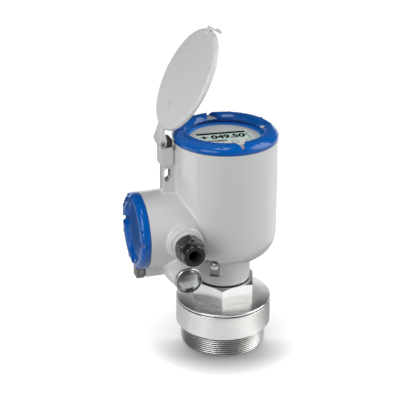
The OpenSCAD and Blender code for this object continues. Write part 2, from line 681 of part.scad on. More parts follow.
// ---------------------------------------------------------------- gland and plug

module gland_gasket() color("#1a1a1a") along_entry(z_gland) translate([0, 0, entry_reach])
    ring(entry_r + 0.2, boss_r - 0.8, gland_gasket_t);

module gland_body() color("#3c3e41") along_entry(z_gland) difference() {
    union() {
        translate([0, 0, entry_reach - 10]) cylinder(r = entry_r - fit, h = 11);
        intersection() {
            translate([0, 0, entry_reach + gland_gasket_t]) hex_prism(gland_af, gland_hex_h);
            translate([0, 0, entry_reach + gland_gasket_t]) rotate_extrude() polygon([[0, 0],
                [gland_af / 2 + 1, 0], [gland_af / 2 + 1.9, 1], [gland_af / 2 + 1.9, gland_hex_h - 1],
                [gland_af / 2 + 1, gland_hex_h], [0, gland_hex_h]]);
        }
        translate([0, 0, entry_reach + gland_gasket_t]) cylinder(r = gland_thread_r, h = 14);
    }
    translate([0, 0, entry_reach - 12]) cylinder(r = 7.4, h = 30);
    translate([0, 0, entry_reach + gland_gasket_t + 7]) cylinder(r = 8.7, h = 10);
}

// Rubber insert that grips the cable
module gland_seal() color("#151515") along_entry(z_gland) translate([0, 0, entry_reach + 8.2])
    ring(cable_d / 2, gland_thread_r - 1.1, gland_len - 10.3);

// Domed nut with wrench flats
module gland_nut() color("#3c3e41") along_entry(z_gland) difference() {
    intersection() {
        rotate_extrude() polygon(concat([[0, nut_y0], [nut_r + 0.9, nut_y0], [nut_r + 1.2, nut_y0 + 1]],
            [[nut_r + 1.2, nut_y0 + 5]],
            curve([nut_r, nut_y0 + 6.5], [nut_r - 0.2, nut_y1 - 2.5], [nut_tip_r, nut_y1], 6), [[0, nut_y1]]));
        translate([0, 0, nut_y0 - eps]) hex_prism(2 * nut_r, nut_y1 - nut_y0 + 1);
    }
    translate([0, 0, nut_y0 - 1]) cylinder(r = gland_thread_r + fit, h = entry_reach + 16.3 - nut_y0);
    translate([0, 0, nut_y0]) cylinder(r = 8.7, h = nut_y1 - nut_y0 - 1.8);
    translate([0, 0, nut_y0]) cylinder(r = cable_d / 2 + 1.1, h = 30);
}

module plug_seal() color("#1a1a1a") along_entry(z_plug) translate([0, 0, entry_reach])
    ring(entry_r + 0.3, boss_r - 1.3, 0.8);

// Blanking plug with a thin rim round a smooth dished face
module blind_plug() color("#bfc2c4") along_entry(z_plug) {
    translate([0, 0, entry_reach - 12]) cylinder(r = entry_r - fit, h = 13);
    translate([0, 0, entry_reach + 0.8]) rotate_extrude() polygon(concat(
        [[0, 0], [boss_r - 0.6, 0], [boss_r - 0.1, 0.5], [boss_r - 0.1, 2.9], [boss_r - 0.5, 3.4]],
        curve([boss_r - 1.1, 3.4], [boss_r - 4.5, 0.9], [0, 0.8], 10)));
}

// ---------------------------------------------------------------- ground terminal and cover lock

// Saddle clamp with a turned-out lip at its top
module ground_clamp() color("#b9bcbf") at_ground() difference() {
    union() {
        translate([ground_r, -ground_w / 2, ground_z0]) cube([1.5, ground_w, ground_z1 - ground_z0]);
        translate([ground_r, -ground_w / 2, ground_z1 - 1.2]) cube([5.5, ground_w, 1.2]);
        translate([ground_r, -ground_w / 2, ground_z0]) cube([3, ground_w, 1.2]);
    }
    translate([ground_r - 1, 0, ground_screw_z]) rotate([0, 90, 0]) cylinder(r = 2 + fit, h = 8, $fn = fine);
}

module ground_screw() color("#c6c8ca") at_ground() translate([ground_r + 1.5, 0, ground_screw_z]) rotate([0, 90, 0])
    difference() {
        union() {
            rotate_extrude() polygon(concat([[0, 0], [ground_head_r, 0], [ground_head_r, 1.2]],
                curve([ground_head_r, 1.2], [ground_head_r - 0.3, 2.6], [0, 3], 6)));
            translate([0, 0, -6.5]) cylinder(r = 2, h = 6.6, $fn = fine);
        }
        for (a = [0, 90]) rotate([0, 0, a + 20]) translate([-2.6, -0.55, 1.6]) cube([5.2, 1.1, 3]);
    }

// Fork that slides down its cross screw to free the terminal cover
module cover_lock() color("#6a6a68") difference() {
    translate([-lock_x, -lug_w / 2, lug_z0 + 0.3]) cube([lock_x - lug_x - 1.3, lug_w, lock_top - lug_z0 - 0.3]);
    translate([-tongue_reach - 0.8, -tongue_w / 2 - gap, lug_z0 - 1])
        cube([tongue_reach, tongue_w + 2 * gap, lock_top]);
    translate([-lock_screw_x, 0, lock_screw_z]) rotate([90, 0, 0])
        cylinder(r = lock_screw_r + fit, h = lug_w + 2, center = true, $fn = fine);
    // relief that follows the round of the cover
    along_terminal() cylinder(r = tcover_r + gap, h = 200);
}

module lock_screw() color("#a9acb0") translate([-lock_screw_x, lug_w / 2 - 0.4, lock_screw_z]) rotate([90, 0, 0])
    difference() {
        cylinder(r = lock_screw_r, h = lug_w - 0.8, $fn = fine);
        translate([0, 0, lug_w - 2.8]) hex_prism(1.6, 4);
    }

process_connection();
lens_antenna();
lens_seal();
flange_gasket();
hex_adapter();
waveguide();
spigot_seal();
retaining_ring();
wiper_seal();
housing_body();
sensor_module();
cable_feedthrough();
display_carrier();
display_screws();
lcd_panel();
terminal_block();
terminal_screws();
hinge_bracket();
bracket_screws();
hinge_block();
hinge_pin();
gland_gasket();
gland_body();
neck_screw();
hood();
hood_catch();
display_cover_seal();
display_cover();
display_window();
window_gasket();
window_ring();
terminal_cover_seal();
terminal_cover();
gland_seal();
gland_nut();
plug_seal();
blind_plug();
ground_clamp();
ground_screw();
cover_lock();
lock_screw();
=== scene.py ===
import math
import bmesh
import bpy
from mathutils import Matrix, Vector


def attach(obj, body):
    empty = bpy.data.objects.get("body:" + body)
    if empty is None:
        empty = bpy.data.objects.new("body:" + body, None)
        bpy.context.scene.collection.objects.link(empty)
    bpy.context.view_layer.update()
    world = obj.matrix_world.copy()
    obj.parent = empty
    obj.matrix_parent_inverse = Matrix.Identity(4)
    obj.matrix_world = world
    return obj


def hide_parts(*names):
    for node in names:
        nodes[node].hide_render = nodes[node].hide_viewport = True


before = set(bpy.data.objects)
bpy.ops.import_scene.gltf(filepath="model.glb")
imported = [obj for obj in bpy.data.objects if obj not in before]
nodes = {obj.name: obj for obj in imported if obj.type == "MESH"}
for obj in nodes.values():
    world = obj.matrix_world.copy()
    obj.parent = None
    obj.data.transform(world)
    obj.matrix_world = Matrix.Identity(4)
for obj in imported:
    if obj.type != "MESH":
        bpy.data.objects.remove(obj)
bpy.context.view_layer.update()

scene = bpy.context.scene
MM = 0.001


# ---- Camera ------------------------------------------------------------------------------------
# A long lens a little above the display cover, looking down at the front left of the instrument.
# The two cable entries face it and the terminal compartment points to the left.
camera_data = bpy.data.cameras.new("camera")
camera_data.lens = 108.94
camera_data.sensor_width = 36.0
camera_data.clip_start, camera_data.clip_end = 0.05, 30.0
camera = bpy.data.objects.new("camera", camera_data)
scene.collection.objects.link(camera)
look = Vector((0.2778, 0.8685, -0.4105)).normalized()
right = look.cross(Vector((0, 0, 1))).normalized()
up = right.cross(look)
roll = 0.004
right, up = right * math.cos(roll) + up * math.sin(roll), up * math.cos(roll) - right * math.sin(roll)
turn = Matrix((right, up, -look)).transposed().to_4x4()
camera.matrix_world = Matrix.Translation(Vector((-0.3606, -1.0474, 0.6540))) @ turn
scene.camera = camera
scene.view_settings.view_transform = "Standard"


# ---- Floor and light ---------------------------------------------------------------------------
# White studio sweep, with a broad softbox on each side and a weaker one above the lens. The camera
# sees the sweep as white with a soft contact shadow; mirrors see light and dark cards round the table.
def linear(hex_colour):
    """An sRGB hex colour as a linear RGBA tuple."""
    parts = [int(hex_colour[i:i + 2], 16) / 255 for i in (0, 2, 4)]
    return tuple(c / 12.92 if c <= 0.04045 else ((c + 0.055) / 1.055) ** 2.4 for c in parts) + (1.0,)


def add_node(tree, kind, settings=None, sockets=None):
    """A shader node with its settings, its socket values, and links from other nodes' outputs."""
    new = tree.nodes.new(kind)
    for name, value in (settings or {}).items():
        setattr(new, name, value)
    for name, value in (sockets or {}).items():
        if isinstance(value, bpy.types.NodeSocket):
            tree.links.new(value, new.inputs[name])
        else:
            new.inputs[name].default_value = value
    return new


def let_go():
    """Object mode, with nothing selected."""
    if bpy.context.object and bpy.context.object.mode != "OBJECT":
        bpy.ops.object.mode_set(mode="OBJECT")
    bpy.ops.object.select_all(action="DESELECT")


let_go()
bpy.ops.mesh.primitive_plane_add(size=9.0, location=(0, 1.8, -0.0002))
floor = bpy.context.object
floor.name = "floor"
bpy.ops.object.transform_apply(location=True, rotation=True, scale=True)
paper = bpy.data.materials.new("white paper sweep")
paper.use_nodes = True
tree = paper.node_tree
tree.nodes.clear()


def round_the_table(tree, way, stops):
    """A brightness that follows the bearing on the floor: stops of (degrees from +X, value)."""
    turn = add_node(tree, "ShaderNodeTexGradient", {"gradient_type": "RADIAL"}, {"Vector": way})
    ramp = add_node(tree, "ShaderNodeValToRGB", sockets={"Fac": turn.outputs["Fac"]})
    places = sorted(((degrees / 360 + 0.5) % 1.0, value) for degrees, value in stops)
    while len(ramp.color_ramp.elements) < len(places):
        ramp.color_ramp.elements.new(0.5)
    for stop, (place, value) in zip(ramp.color_ramp.elements, places):
        stop.position, stop.color = place, (value, value, value, 1)
    return ramp.outputs["Color"]


ray = add_node(tree, "ShaderNodeLightPath")
way = add_node(tree, "ShaderNodeTexCoord").outputs["Object"]
reach = add_node(tree, "ShaderNodeVectorMath", {"operation": "LENGTH"}, {0: way})
far = add_node(tree, "ShaderNodeMapRange", sockets={
    "Value": reach.outputs["Value"], "From Min": 0.20, "From Max": 0.27})
# the brightness that mirrors see at each bearing, close to the ring and further out
near_cards = round_the_table(tree, way, [
    (-168, 0.88), (-147, 1.06), (-127, 0.92), (-108, 0.88), (-88, 0.94), (-68, 1.20), (-50, 1.25),
    (-30, 0.85), (-10, 0.52), (12, 0.38), (40, 0.66), (80, 0.60), (140, 0.62), (172, 0.72)])
far_cards = round_the_table(tree, way, [
    (-178, 1.70), (-170, 1.85), (-167, 0.40), (-108, 0.15), (-80, 0.45), (-30, 1.10), (10, 1.25),
    (50, 0.70), (80, 0.06), (125, 0.06), (135, 1.40), (178, 1.70)])
cards = add_node(tree, "ShaderNodeMix", {"data_type": "RGBA"}, {
    0: far.outputs[0], 6: near_cards, 7: far_cards})
matt = add_node(tree, "ShaderNodeBsdfDiffuse", sockets={"Color": linear("606060")})
dim = add_node(tree, "ShaderNodeBsdfDiffuse", sockets={"Color": linear("9C9C9C")})
# the contact shadow that the camera sees, which is softer behind the ring than in front of it
toward_camera = (-0.304, -0.953, 0)
nook = add_node(tree, "ShaderNodeAmbientOcclusion", {"samples": 16}, {"Distance": 0.042})
nearer = add_node(tree, "ShaderNodeVectorMath", {"operation": "DOT_PRODUCT"}, {0: way, 1: toward_camera})
front = add_node(tree, "ShaderNodeMapRange", sockets={
    "Value": nearer.outputs["Value"], "From Min": 0.005, "From Max": 0.045, "To Min": 0.3, "To Max": 2.5})
depth = add_node(tree, "ShaderNodeMath", {"operation": "POWER"}, {
    0: nook.outputs["AO"], 1: front.outputs[0]})
white = add_node(tree, "ShaderNodeMapRange", sockets={
    "Value": reach.outputs["Value"], "From Min": 0.05, "From Max": 0.13, "To Min": 0.90, "To Max": 1.03})
glow = add_node(tree, "ShaderNodeMath", {"operation": "MULTIPLY"}, {
    0: depth.outputs[0], 1: white.outputs[0]})
lift = add_node(tree, "ShaderNodeEmission", sockets={"Color": (1, 1, 1, 1), "Strength": glow.outputs[0]})
gleam = add_node(tree, "ShaderNodeEmission", sockets={"Color": cards.outputs[2], "Strength": 1.0})
both = add_node(tree, "ShaderNodeAddShader", sockets={0: matt.outputs["BSDF"], 1: lift.outputs["Emission"]})
mirrored = add_node(tree, "ShaderNodeMixShader", sockets={
    0: ray.outputs["Is Glossy Ray"], 1: dim.outputs["BSDF"], 2: gleam.outputs["Emission"]})
either = add_node(tree, "ShaderNodeMixShader", sockets={
    0: ray.outputs["Is Camera Ray"], 1: mirrored.outputs["Shader"], 2: both.outputs["Shader"]})
add_node(tree, "ShaderNodeOutputMaterial", sockets={"Surface": either.outputs["Shader"]})
floor.data.materials.append(paper)


def bright_card(name, place, facing, wide, tall, strength):
    """A glowing card that only the metal and the enamel mirror."""
    paint = bpy.data.materials.new(name)
    paint.use_nodes = True
    tree = paint.node_tree
    tree.nodes.clear()
    shine = add_node(tree, "ShaderNodeEmission", sockets={"Color": (1, 1, 1, 1), "Strength": strength})
    add_node(tree, "ShaderNodeOutputMaterial", sockets={"Surface": shine.outputs["Emission"]})
    let_go()
    upright = (math.pi / 2, 0, math.radians(facing))
    bpy.ops.mesh.primitive_plane_add(size=1.0, location=place, rotation=upright)
    card = bpy.context.object
    card.name = name
    card.scale = (wide, tall, 1)
    card.data.materials.append(paint)
    card.visible_camera, card.visible_diffuse, card.visible_shadow = False, False, False


bright_card("card_behind", (0.13, 0.42, 0.14), -18, 1.3, 0.27, 1.15)
bright_card("card_front", (0.80, -1.02, 0.62), 38, 0.42, 0.56, 1.75)

# the room is white to the camera, and darkens upwards for light and for mirrors
world = bpy.data.worlds.new("studio")
scene.world = world
world.use_nodes = True
tree = world.node_tree
tree.nodes.clear()
ray = add_node(tree, "ShaderNodeLightPath")
seen = add_node(tree, "ShaderNodeBackground", sockets={"Color": (1, 1, 1, 1), "Strength": 1.0})
sky = add_node(tree, "ShaderNodeTexCoord")
height = add_node(tree, "ShaderNodeSeparateXYZ", sockets={0: sky.outputs["Generated"]})
fade = add_node(tree, "ShaderNodeMapRange", sockets={
    "Value": height.outputs["Z"], "From Min": 0.05, "From Max": 0.75, "To Min": 0.44, "To Max": 0.14})
dusk = add_node(tree, "ShaderNodeMapRange", sockets={
    "Value": ray.outputs["Is Glossy Ray"], "To Min": 1.0, "To Max": 0.3})
dimmed = add_node(tree, "ShaderNodeMath", {"operation": "MULTIPLY"}, {
    0: fade.outputs[0], 1: dusk.outputs[0]})
fill = add_node(tree, "ShaderNodeBackground", sockets={"Color": (1, 1, 1, 1), "Strength": dimmed.outputs[0]})
either = add_node(tree, "ShaderNodeMixShader", sockets={
    0: ray.outputs["Is Camera Ray"], 1: fill.outputs["Background"], 2: seen.outputs["Background"]})
add_node(tree, "ShaderNodeOutputWorld", sockets={"Surface": either.outputs["Shader"]})

for name, wide, tall, place, watts in (
        ("softbox left", 0.9, 1.5, (-1.17, -0.82, 0.80), 18.0),
        ("softbox right", 0.9, 1.5, (1.25, -0.35, 0.80), 18.5),
        ("softbox top", 0.5, 0.4, (-0.22, -0.3, 1.45), 3.2)):
    lamp = bpy.data.lights.new(name, "AREA")
    lamp.shape = "RECTANGLE"
    lamp.size, lamp.size_y, lamp.energy = wide, tall, watts
    stand = bpy.data.objects.new(name, lamp)
    scene.collection.objects.link(stand)
    stand.location = place
    stand.rotation_euler = (Vector((0, 0, 0.15)) - Vector(place)).to_track_quat("-Z", "Y").to_euler()


# ---- Process connection ------------------------------------------------------------------------
# Stainless ring turned from bar: a plain collar above a short parallel pipe thread, 11 turns to the
# inch. Fine turning marks run round it, and the thread's crests catch the light as thin lines against
# painted shade in its roots.
def turned(name, points, steps=128, bevel=0.0, place=None):
    """A turned piece: an outline of (radius, height) in mm spun round Z, its edges eased by bevel mm."""
    let_go()
    bpy.ops.mesh.primitive_plane_add(size=MM, location=(0, 0, 0))
    piece = bpy.context.object
    piece.name = name
    bpy.ops.object.mode_set(mode="EDIT")
    bpy.ops.mesh.select_all(action="SELECT")
    bpy.ops.mesh.merge(type="CENTER")
    bpy.ops.transform.translate(value=(points[0][0] * MM, 0, points[0][1] * MM))
    for (r0, z0), (r1, z1) in zip(points, points[1:]):
        step = ((r1 - r0) * MM, 0, (z1 - z0) * MM)
        bpy.ops.mesh.extrude_region_move(TRANSFORM_OT_translate={"value": step})
    bpy.ops.mesh.select_all(action="SELECT")
    bpy.ops.mesh.spin(steps=steps, angle=2 * math.pi, center=(0, 0, 0), axis=(0, 0, 1))
    bpy.ops.mesh.select_all(action="SELECT")
    bpy.ops.mesh.remove_doubles(threshold=2e-6)
    bpy.ops.mesh.normals_make_consistent(inside=False)
    bpy.ops.object.mode_set(mode="OBJECT")
    if bevel:
        soften(piece, bevel)
    if place is not None:
        piece.data.transform(place)
    bpy.ops.object.shade_smooth_by_angle(angle=math.radians(35))
    return piece


def pick(piece):
    """Makes a piece the active object and the only one selected."""
    let_go()
    bpy.context.view_layer.objects.active = piece
    piece.select_set(True)


def soften(piece, width, segments=2, angle=30):
    """Rounds a piece's sharp edges by width mm."""
    pick(piece)
    edge = piece.modifiers.new("edges", "BEVEL")
    edge.width, edge.segments, edge.limit_method = width * MM, segments, "ANGLE"
    edge.angle_limit = math.radians(angle)
    edge.use_clamp_overlap = True
    bpy.ops.object.modifier_apply(modifier="edges")


def crisp(piece, angle=30):
    """Smooth shading that keeps a piece's broad flats truly flat up to their rounded edges."""
    pick(piece)
    bpy.ops.object.shade_smooth_by_angle(angle=math.radians(angle))
    level = piece.modifiers.new("level", "WEIGHTED_NORMAL")
    level.keep_sharp, level.weight = True, 100
    bpy.ops.object.modifier_apply(modifier="level")


def fit_out(piece, finish, body, node_names=()):
    """Gives a piece its finish, its body, and the CAD nodes that it stands for."""
    piece.data.materials.clear()
    piece.data.materials.append(finish)
    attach(piece, body)
    if node_names:
        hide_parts(*node_names)


def turned_metal(name, tint, rough, line_mm, bump, radial=True):
    """A metal with fine lathe lines: noise stretched round the axis, read from radius and height."""
    metal = bpy.data.materials.new(name)
    metal.use_nodes = True
    tree = metal.node_tree
    shader = tree.nodes["Principled BSDF"]
    shader.inputs["Metallic"].default_value = 1.0
    spot = add_node(tree, "ShaderNodeTexCoord")
    split = add_node(tree, "ShaderNodeSeparateXYZ", sockets={0: spot.outputs["Object"]})
    plan = add_node(tree, "ShaderNodeCombineXYZ", sockets={"X": split.outputs["X"], "Y": split.outputs["Y"]})
    reach = add_node(tree, "ShaderNodeVectorMath", {"operation": "LENGTH"}, {0: plan.outputs[0]})
    lines = add_node(tree, "ShaderNodeCombineXYZ", sockets={
        "X": reach.outputs["Value"], "Z": split.outputs["Z"]})
    along = lines.outputs[0] if radial else spot.outputs["Object"]
    grain = add_node(tree, "ShaderNodeTexNoise", sockets={
        "Vector": along, "Scale": 1000 / line_mm, "Detail": 3.0})
    wide = add_node(tree, "ShaderNodeTexNoise", sockets={
        "Vector": spot.outputs["Object"], "Scale": 55.0, "Detail": 2.0})
    soft = add_node(tree, "ShaderNodeMath", {"operation": "MULTIPLY_ADD"}, {
        0: grain.outputs["Fac"], 1: 0.16, 2: rough - 0.08})
    both = add_node(tree, "ShaderNodeMath", {"operation": "MULTIPLY_ADD"}, {
        0: wide.outputs["Fac"], 1: 0.10, 2: soft.outputs[0]})
    tree.links.new(both.outputs[0], shader.inputs["Roughness"])
    shade = add_node(tree, "ShaderNodeMix", {"data_type": "RGBA"}, {
        0: wide.outputs["Fac"], 6: linear(tint), 7: tuple(0.88 * c for c in linear(tint)[:3]) + (1.0,)})
    tree.links.new(shade.outputs[2], shader.inputs["Base Color"])
    lift = add_node(tree, "ShaderNodeBump", sockets={
        "Height": grain.outputs["Fac"], "Strength": bump, "Distance": 0.05 * MM})
    tree.links.new(lift.outputs["Normal"], shader.inputs["Normal"])
    return metal


stainless_turned = turned_metal("stainless steel 316L, turned", "E4E3E1", 0.18, 0.35, 0.35)

collar = turned("process_collar", [
    (37.45, 0.25), (37.7, 0), (42.3, 0), (42.3, 21.3), (43.2, 21.6), (48.3, 21.6), (48.8, 22.1),
    (48.8, 46.7), (48.6, 46.9), (15.05, 46.9), (15.05, 38.1), (7, 38.1), (33.9, 11.6), (37.45, 11.6),
    (37.45, 0.25)], bevel=0.12)
fit_out(collar, stainless_turned, "base", ["process_connection"])

# columns of points round the ring, each a little higher than the last, so the last joins the first a
# pitch further up; the first millimetre or so is the lead-in
pitch, crest, root, top = 2.309, 43.94, 42.45, 21.4
lead_in, relief = 1.1, 0.3
around, per_turn = 160, 10
rows = per_turn * (math.ceil(top / pitch) + 2)
thread_mesh = bmesh.new()
grid = []
for j in range(around):
    a = 2 * math.pi * j / around
    column = []
    for i in range(rows + 1):
        z = (i / per_turn + j / around - 1) * pitch
        phase = (i % per_turn) / per_turn
        r = root + (crest - root) * (0.5 - 0.5 * math.cos(2 * math.pi * phase)) ** 0.75
        if z <= 0 or z >= top:
            r, z = root - relief, min(max(z, 0), top)
        if z < lead_in:
            r = min(r, crest - lead_in + z)
        column.append(thread_mesh.verts.new((r * math.cos(a) * MM, r * math.sin(a) * MM, z * MM)))
    grid.append(column)
for j in range(around):
    last = j == around - 1
    here, beside = grid[j], grid[0] if last else grid[j + 1]
    shift = per_turn if last else 0
    for i in range(rows - shift):
        thread_mesh.faces.new((here[i], beside[i + shift], beside[i + shift + 1], here[i + 1]))
bmesh.ops.remove_doubles(thread_mesh, verts=thread_mesh.verts[:], dist=1e-6)
bmesh.ops.dissolve_degenerate(thread_mesh, edges=thread_mesh.edges[:], dist=1e-6)
thread_data = bpy.data.meshes.new("process_thread")
thread_mesh.to_mesh(thread_data)
thread_mesh.free()
thread = bpy.data.objects.new("process_thread", thread_data)
scene.collection.objects.link(thread)
pick(thread)
bpy.ops.object.shade_smooth_by_angle(angle=math.radians(50))


def paint_groove_shade(metal, low, high):
    """Paints shade into a turned metal's grooves: darker towards their bottom, between two radii in mm."""
    tree = metal.node_tree
    shader = tree.nodes["Principled BSDF"]
    tint = shader.inputs["Base Color"].links[0].from_socket
    reach = [node for node in tree.nodes if node.bl_idname == "ShaderNodeVectorMath"][0].outputs["Value"]
    depth = add_node(tree, "ShaderNodeMapRange", sockets={
        "Value": reach, "From Min": low * MM, "From Max": high * MM, "To Min": 0.06, "To Max": 0.86})
    shade = add_node(tree, "ShaderNodeMix", {"data_type": "RGBA", "blend_type": "MULTIPLY"}, {
        0: 1.0, 6: tint, 7: depth.outputs[0]})
    tree.links.new(shade.outputs[2], shader.inputs["Base Color"])


thread_steel = turned_metal("stainless steel 316L, cut thread", "E4E3E1", 0.30, 0.35, 0.2)
# painted shade: the thread's roots are darkened, so its crests show as light lines
paint_groove_shade(thread_steel, root + 0.1, crest - 0.2)
fit_out(thread, thread_steel, "base")


# ---- Lens antenna and its seals ----------------------------------------------------------------
# Machined PEEK lens, flat below and crowned above, with an O-ring in its edge. Beige brown and matt,
# with a fine surface grain.
def plastic(name, tint, rough, grain_mm=0.5, bump=0.15, spread=0.06, coat=0.0, shine=0.5):
    """A moulded plastic, rubber or paint: small colour variation and a fine surface grain."""
    stuff = bpy.data.materials.new(name)
    stuff.use_nodes = True
    tree = stuff.node_tree
    shader = tree.nodes["Principled BSDF"]
    shader.inputs["Coat Weight"].default_value = coat
    shader.inputs["Coat Roughness"].default_value = 0.06
    shader.inputs["Specular IOR Level"].default_value = shine
    spot = add_node(tree, "ShaderNodeTexCoord")
    grain = add_node(tree, "ShaderNodeTexNoise", sockets={
        "Vector": spot.outputs["Object"], "Scale": 1000 / grain_mm, "Detail": 4.0, "Roughness": 0.6})
    cloud = add_node(tree, "ShaderNodeTexNoise", sockets={
        "Vector": spot.outputs["Object"], "Scale": 40.0, "Detail": 3.0})
    dark = tuple((1 - 2 * spread) * c for c in linear(tint)[:3]) + (1.0,)
    shade = add_node(tree, "ShaderNodeMix", {"data_type": "RGBA"}, {
        0: cloud.outputs["Fac"], 6: dark, 7: linear(tint)})
    tree.links.new(shade.outputs[2], shader.inputs["Base Color"])
    soft = add_node(tree, "ShaderNodeMath", {"operation": "MULTIPLY_ADD"}, {
        0: cloud.outputs["Fac"], 1: 0.12, 2: rough - 0.06})
    tree.links.new(soft.outputs[0], shader.inputs["Roughness"])
    lift = add_node(tree, "ShaderNodeBump", sockets={
        "Height": grain.outputs["Fac"], "Strength": bump, "Distance": 0.06 * MM})
    tree.links.new(lift.outputs["Normal"], shader.inputs["Normal"])
    return stuff


def dress(node, finish):
    """A better material on a CAD node whose shape is right as it is."""
    nodes[node].data.materials.clear()
    nodes[node].data.materials.append(finish)


peek = plastic("PEEK, machined", "9C8A6C", 0.45, 0.3, 0.2)
rubber = plastic("nitrile rubber, moulded", "1B1B1C", 0.62, 0.4, 0.3)
lens = turned("lens_antenna_turned", [
    (0, 0), (36.9, 0), (37.4, 0.5), (37.4, 5.0), (35.4, 5.0), (35.4, 7.2), (37.4, 7.2), (37.4, 11.1),
    (36.9, 11.6), (32.4, 11.6), (31.2, 12.4), (27.4, 15.0), (22.2, 17.4), (16.0, 19.3), (8.2, 20.4),
    (0, 20.6)], bevel=0.1)
fit_out(lens, peek, "base", ["lens_antenna"])
for node in ("lens_seal", "spigot_seal"):
    dress(node, rubber)
gasket = turned("flange_gasket_ring", [(15.1, 46.9), (47.9, 46.9), (47.9, 48.1), (15.1, 48.1), (15.1, 46.9)])
fit_out(gasket, rubber, "base", ["flange_gasket"])
wiper = turned("neck_wiper", [(21.2, 71.0), (26.2, 71.0), (26.2, 72.3), (21.2, 72.3), (21.2, 71.0)])
fit_out(wiper, rubber, "base", ["wiper_seal"])


# ---- Hexagon adapter, waveguide and retaining ring ---------------------------------------------
# Disc, hexagon and spigot machined from one bar; the six flats are milled and carry a fine grain.
# The hexagon's corners are turned off at the top, and a split ring holds the housing on the spigot.
def cut(piece, tools, operation="DIFFERENCE"):
    """Cuts a piece by one or more tool meshes, which are then removed."""
    for tool in tools:
        pick(piece)
        knife = piece.modifiers.new("cut", "BOOLEAN")
        knife.operation, knife.solver, knife.object = operation, "EXACT", tool
        bpy.ops.object.modifier_apply(modifier="cut")
        bpy.data.objects.remove(tool, do_unlink=True)


def block(name, low, high, bevel=0.0, place=None):
    """A rectangular piece between two corners in mm, with its edges eased."""
    let_go()
    middle = [(a + b) / 2 * MM for a, b in zip(low, high)]
    bpy.ops.mesh.primitive_cube_add(size=1.0, location=middle)
    piece = bpy.context.object
    piece.name = name
    piece.scale = [(b - a) * MM for a, b in zip(low, high)]
    bpy.ops.object.transform_apply(location=True, rotation=True, scale=True)
    if bevel:
        soften(piece, bevel)
    if place is not None:
        piece.data.transform(place)
    return piece


def at(x, y, z):
    """A shift in mm."""
    return Matrix.Translation(Vector((x * MM, y * MM, z * MM)))


def spun(degrees, axis="Z"):
    """A turn about an axis."""
    return Matrix.Rotation(math.radians(degrees), 4, axis)


def hexagonal(name, across, low, high, spin):
    """A six-sided prism across its flats, from height low to high in mm, with a corner at +Y plus spin."""
    let_go()
    bpy.ops.mesh.primitive_cylinder_add(
        vertices=6, radius=across / 2 / math.cos(math.pi / 6) * MM, depth=(high - low) * MM,
        location=(0, 0, (low + high) / 2 * MM))
    piece = bpy.context.object
    piece.name = name
    bpy.ops.object.transform_apply(location=True, rotation=True, scale=True)
    piece.data.transform(spun(spin))
    return piece


stainless_milled = turned_metal("stainless steel 316L, milled", "E8E7E6", 0.16, 0.5, 0.25, radial=False)
disc = turned("adapter_disc", [
    (9.05, 38.4), (15, 38.4), (15, 48.1), (48.6, 48.1), (48.8, 48.3), (48.8, 49.8), (48.4, 50.2),
    (9.05, 50.2), (9.05, 38.4)], bevel=0.1)
fit_out(disc, stainless_turned, "base", ["hex_adapter"])
hexagon = hexagonal("adapter_hexagon", 60.2, 50.2, 71.0, spin=-80)
cone = turned("cone", [
    (0, 50.0), (36, 50.0), (36, 68.6), (35.4, 68.9), (31.2, 71.0), (31.2, 71.5), (0, 71.5)], 96)
cut(hexagon, [cone], "INTERSECT")
soften(hexagon, 0.3, 2)
crisp(hexagon)
spigot = turned("adapter_spigot", [
    (9.05, 70.5), (21, 70.5), (21, 78.05), (19, 78.05), (19, 79.95), (21, 79.95), (21, 82), (19.8, 82),
    (19.8, 86.8), (21, 86.8), (21, 88), (19.4, 88), (19.4, 90.2), (21, 90.2), (21, 91.6), (20.6, 92),
    (9.05, 92), (9.05, 70.5)])
fit_out(hexagon, stainless_milled, "base")
fit_out(spigot, stainless_turned, "base")
dress("waveguide", stainless_turned)
zinc = turned_metal("zinc-plated steel", "B9BCC0", 0.34, 0.8, 0.2, radial=False)
dress("retaining_ring", zinc)


# ---- Housing casting ---------------------------------------------------------------------------
# Pressure die-cast aluminium with a pale grey powder coat. The cast forms flow into each other with
# soft fillets, and the mouths, boss ends and bores are machined afterwards, so they stay crisp.
coat_grey = plastic("powder-coated cast aluminium", "CACBCB", 0.34, 0.7, 0.08, 0.015, coat=0.6)

barrel_height, entry_out, entry_pitch = 134.5, 53.5, 35.1
sideways, forward = spun(90, "Y"), spun(90, "X")
to_terminal = at(0, 0, barrel_height) @ spun(-90, "Y")
to_gland = at(-entry_out, 0, barrel_height) @ forward
to_plug = at(-entry_out, 0, barrel_height - entry_pitch) @ forward
to_ground = spun(-124)
to_set_screw = spun(70)


def arc(across, height, radius, angles):
    """Points of a circular arc round a centre in mm, one at each of the angles in degrees."""
    return [(across + radius * math.cos(math.radians(a)), height + radius * math.sin(math.radians(a)))
            for a in angles]


def rod(name, radius, low, high, steps, place):
    """A plain round bar from height low to high in mm."""
    return turned(name, [(0, low), (radius, low), (radius, high), (0, high)], steps, place=place)


bowl = arc(27.4, 124, 25, range(-72, 1, 9))
casting = turned("housing_casting", [
    (0, 66), (27.2, 66), (27.2, 94.0), (27.6, 96.4), (28.9, 98.4), (31.2, 99.6)]
    + bowl + [(52.4, 230), (0, 230)], 128)
others = [
    turned("terminal_barrel", [(0, 20), (39.6, 20), (38.4, 93), (0, 93)], 96, place=to_terminal),
    turned("gland_boss", [
        (0, 22), (22, 22), (19.6, 28), (18.2, 33), (17.5, 38), (17.4, 42), (17.4, 56), (0, 56)], 64,
        place=to_gland),
    turned("plug_boss", [
        (0, -8), (16.6, -8), (17.4, 10), (16.8, 24), (15.4, 34), (14.2, 42), (13.7, 48), (13.6, 56),
        (0, 56)], 64, place=to_plug),
    block("bracket_rib", (-65.4, -6, 171), (-49, 6, 217.4)),
    block("lock_lug", (-84, -6, 84.1), (-57, 6, 100)),
    block("lock_tongue", (-91.0, -2.8, 84.4), (-82, 2.8, 94.5)),
    block("ground_pad", (22, -5.6, 85), (35, 5.6, 117), place=to_ground),
]
